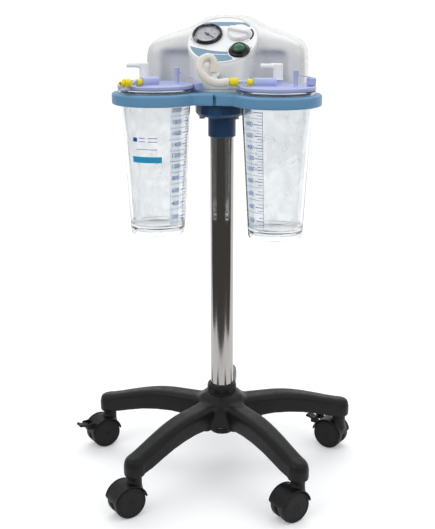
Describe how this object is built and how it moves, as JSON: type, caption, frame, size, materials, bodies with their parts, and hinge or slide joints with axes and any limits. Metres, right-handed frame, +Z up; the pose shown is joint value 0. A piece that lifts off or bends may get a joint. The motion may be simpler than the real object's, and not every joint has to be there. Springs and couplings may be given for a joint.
{
  "type": "suction pump",
  "caption": "Wheeled medical suction pump: white pump head with gauge, regulator and button over a blue tray of lidded clear jars, on a steel mast and star base with swivel casters.",
  "frame": {"origin": "on the floor, under the middle of the whole object seen from above; the mast stands 27 mm from it in X and -4 mm in Y", "axes": "+Z up; the control face and the jars face -Y; +X is to the right seen from the front"},
  "size_m": [0.537, 0.5225, 0.85],
  "materials": {
    "base_nylon": "satin black moulded nylon with a fine leather-like texture",
    "caster_plastic": "black moulded nylon",
    "caster_tread": "dark grey polyurethane tread",
    "steel": "zinc-plated fastener",
    "mast_steel": "polished stainless tube with fine lengthwise lines",
    "tray_blue": "light steel-blue moulded ABS, soft gloss",
    "socket_blue": "darker blue moulded nylon",
    "housing_white": "glossy white moulded ABS",
    "label": "printed polycarbonate film, white with blue-grey bands",
    "black_gloss": "black moulded ABS",
    "dial": "white printed dial",
    "needle": "black painted pointer",
    "lens": "clear acrylic window",
    "knob_white": "white moulded ABS",
    "brass": "turned brass",
    "green": "translucent green moulded button",
    "clear": "clear polycarbonate",
    "liner": "thin clear film, crinkled",
    "lilac": "translucent lilac moulded polyethylene",
    "elbow_white": "white moulded plastic",
    "yellow": "yellow moulded plastic",
    "silicone": "translucent milky silicone",
    "motor_metal": "lacquered laminations",
    "copper": "varnished rotor with a steel shaft",
    "alu": "die-cast aluminium",
    "rubber": "black rubber"
  },
  "bodies": {
    "base": {"base_star": "base_nylon"},
    "pump_and_mast": {"hub_collar": "base_nylon", "collar_set_screws": "steel", "mast_tube": "mast_steel", "mast_foot": "base_nylon", "jar_tray": "tray_blue", "tray_socket": "socket_blue", "tray_bolts": "steel", "housing_cover": "housing_white", "housing_base": "housing_white", "housing_screws": "steel", "face_label": "label", "gauge_case": "black_gloss", "gauge_dial": "dial", "gauge_lens": "lens", "regulator_valve": "brass", "button_skirt": "black_gloss", "suction_port": "housing_white", "mains_inlet": "black_gloss", "motor_stator": "motor_metal", "pump_block": "alu", "rubber_mounts": "rubber", "inner_tubes": "silicone"},
    "caster_fr": {"caster_fr_fork": "caster_plastic"},
    "caster_fr_wheel_a": {"caster_fr_wheel_a": "caster_tread"},
    "caster_fr_wheel_b": {"caster_fr_wheel_b": "caster_tread"},
    "caster_fl": {"caster_fl_fork": "caster_plastic"},
    "caster_fl_wheel_a": {"caster_fl_wheel_a": "caster_tread"},
    "caster_fl_wheel_b": {"caster_fl_wheel_b": "caster_tread"},
    "caster_r": {"caster_r_fork": "caster_plastic"},
    "caster_r_wheel_a": {"caster_r_wheel_a": "caster_tread"},
    "caster_r_wheel_b": {"caster_r_wheel_b": "caster_tread"},
    "caster_r_brake": {"caster_r_brake": "caster_plastic"},
    "caster_l": {"caster_l_fork": "caster_plastic"},
    "caster_l_wheel_a": {"caster_l_wheel_a": "caster_tread"},
    "caster_l_wheel_b": {"caster_l_wheel_b": "caster_tread"},
    "caster_l_brake": {"caster_l_brake": "caster_plastic"},
    "caster_back": {"caster_back_fork": "caster_plastic"},
    "caster_back_wheel_a": {"caster_back_wheel_a": "caster_tread"},
    "caster_back_wheel_b": {"caster_back_wheel_b": "caster_tread"},
    "gauge_needle": {"gauge_needle": "needle"},
    "regulator_knob": {"regulator_knob": "knob_white"},
    "power_button": {"power_button": "green"},
    "motor_rotor": {"motor_rotor": "copper"},
    "piston": {"piston_rod": "alu"},
    "jar_left": {"jar_left": "clear"},
    "lid_left": {"lid_left": "lilac", "liner_left": "liner", "connector_left": "yellow", "stopper_left": "lilac"},
    "elbow_left": {"elbow_left": "elbow_white"},
    "jar_right": {"jar_right": "clear"},
    "lid_right": {"lid_right": "lilac", "liner_right": "liner", "connector_right": "yellow", "stopper_right": "lilac", "suction_hose": "silicone"},
    "elbow_right": {"elbow_right": "elbow_white"}
  },
  "joints": [
    {"name": "mast_swivel", "type": "hinge", "parent": "base", "child": "pump_and_mast", "pos_m": [0.027, -0.004, 0.157], "axis": [0, 0, 1], "continuous": true},
    {"name": "caster_fr_swivel", "type": "hinge", "parent": "base", "child": "caster_fr", "pos_m": [0.18987, -0.18299, 0.08], "axis": [0, 0, 1], "continuous": true},
    {"name": "caster_fr_wheel_a_spin", "type": "hinge", "parent": "caster_fr", "child": "caster_fr_wheel_a", "pos_m": [0.1773, -0.19443, 0.029], "axis": [0.673, -0.7396, 0], "continuous": true},
    {"name": "caster_fr_wheel_b_spin", "type": "hinge", "parent": "caster_fr", "child": "caster_fr_wheel_b", "pos_m": [0.1773, -0.19443, 0.029], "axis": [0.673, -0.7396, 0], "continuous": true},
    {"name": "caster_fl_swivel", "type": "hinge", "parent": "base", "child": "caster_fl", "pos_m": [-0.0929, -0.21421, 0.08], "axis": [0, 0, 1], "continuous": true},
    {"name": "caster_fl_wheel_a_spin", "type": "hinge", "parent": "caster_fl", "child": "caster_fl_wheel_a", "pos_m": [-0.10547, -0.22565, 0.029], "axis": [0.673, -0.7396, 0], "continuous": true},
    {"name": "caster_fl_wheel_b_spin", "type": "hinge", "parent": "caster_fl", "child": "caster_fl_wheel_b", "pos_m": [-0.10547, -0.22565, 0.029], "axis": [0.673, -0.7396, 0], "continuous": true},
    {"name": "caster_r_swivel", "type": "hinge", "parent": "base", "child": "caster_r", "pos_m": [0.24756, 0.09559, 0.08], "axis": [0, 0, 1], "continuous": true},
    {"name": "caster_r_wheel_a_spin", "type": "hinge", "parent": "caster_r", "child": "caster_r_wheel_a", "pos_m": [0.23211, 0.10269, 0.029], "axis": [-0.4179, -0.9085, 0], "continuous": true},
    {"name": "caster_r_wheel_b_spin", "type": "hinge", "parent": "caster_r", "child": "caster_r_wheel_b", "pos_m": [0.23211, 0.10269, 0.029], "axis": [-0.4179, -0.9085, 0], "continuous": true},
    {"name": "caster_r_brake_press", "type": "hinge", "parent": "caster_r", "child": "caster_r_brake", "pos_m": [0.19941, 0.11773, 0.0495], "axis": [-0.4179, -0.9085, 0], "range_deg": [0, 16]},
    {"name": "caster_l_swivel", "type": "hinge", "parent": "base", "child": "caster_l", "pos_m": [-0.20997, 0.04507, 0.08], "axis": [0, 0, 1], "continuous": true},
    {"name": "caster_l_wheel_a_spin", "type": "hinge", "parent": "caster_l", "child": "caster_l_wheel_a", "pos_m": [-0.22255, 0.03363, 0.029], "axis": [0.673, -0.7396, 0], "continuous": true},
    {"name": "caster_l_wheel_b_spin", "type": "hinge", "parent": "caster_l", "child": "caster_l_wheel_b", "pos_m": [-0.22255, 0.03363, 0.029], "axis": [0.673, -0.7396, 0], "continuous": true},
    {"name": "caster_l_brake_press", "type": "hinge", "parent": "caster_l", "child": "caster_l_brake", "pos_m": [-0.24917, 0.00941, 0.0495], "axis": [0.673, -0.7396, 0], "range_deg": [0, 16]},
    {"name": "caster_back_swivel", "type": "hinge", "parent": "base", "child": "caster_back", "pos_m": [0.00044, 0.23654, 0.08], "axis": [0, 0, 1], "continuous": true},
    {"name": "caster_back_wheel_a_spin", "type": "hinge", "parent": "caster_back", "child": "caster_back_wheel_a", "pos_m": [-0.01213, 0.2251, 0.029], "axis": [0.673, -0.7396, 0], "continuous": true},
    {"name": "caster_back_wheel_b_spin", "type": "hinge", "parent": "caster_back", "child": "caster_back_wheel_b", "pos_m": [-0.01213, 0.2251, 0.029], "axis": [0.673, -0.7396, 0], "continuous": true},
    {"name": "gauge_needle_turn", "type": "hinge", "parent": "pump_and_mast", "child": "gauge_needle", "pos_m": [-0.0008, 0.00937, 0.81157], "axis": [0, -0.5892, 0.808], "range_deg": [0, 250], "stiffness_Nm_per_rad": 0.0002},
    {"name": "regulator_knob_turn", "type": "hinge", "parent": "pump_and_mast", "child": "regulator_knob", "pos_m": [0.055, 0.00958, 0.81569], "axis": [0, -0.5892, 0.808], "range_deg": [-135, 135]},
    {"name": "power_button_press", "type": "slide", "parent": "pump_and_mast", "child": "power_button", "axis": [0, 0.5892, -0.808], "range_m": [0, 0.003], "stiffness_N_per_m": 600},
    {"name": "motor_rotor_spin", "type": "hinge", "parent": "pump_and_mast", "child": "motor_rotor", "pos_m": [0.027, 0.084, 0.754], "axis": [1, 0, 0], "continuous": true},
    {"name": "piston_stroke", "type": "slide", "parent": "pump_and_mast", "child": "piston", "axis": [0, 0, 1], "range_m": [-0.014, 0]},
    {"name": "jar_left_lift", "type": "slide", "parent": "pump_and_mast", "child": "jar_left", "axis": [0, 0, 1], "range_m": [0, 0.27]},
    {"name": "lid_left_lift", "type": "slide", "parent": "jar_left", "child": "lid_left", "axis": [0, 0, 1], "range_m": [0, 0.25]},
    {"name": "elbow_left_turn", "type": "hinge", "parent": "lid_left", "child": "elbow_left", "pos_m": [-0.10112, -0.04898, 0.75], "axis": [0, 0, 1], "range_deg": [-90, 90]},
    {"name": "jar_right_lift", "type": "slide", "parent": "pump_and_mast", "child": "jar_right", "axis": [0, 0, 1], "range_m": [0, 0.27]},
    {"name": "lid_right_lift", "type": "slide", "parent": "jar_right", "child": "lid_right", "axis": [0, 0, 1], "range_m": [0, 0.25]},
    {"name": "elbow_right_turn", "type": "hinge", "parent": "lid_right", "child": "elbow_right", "pos_m": [0.12862, -0.03699, 0.75], "axis": [0, 0, 1], "range_deg": [-90, 90]}
  ]
}
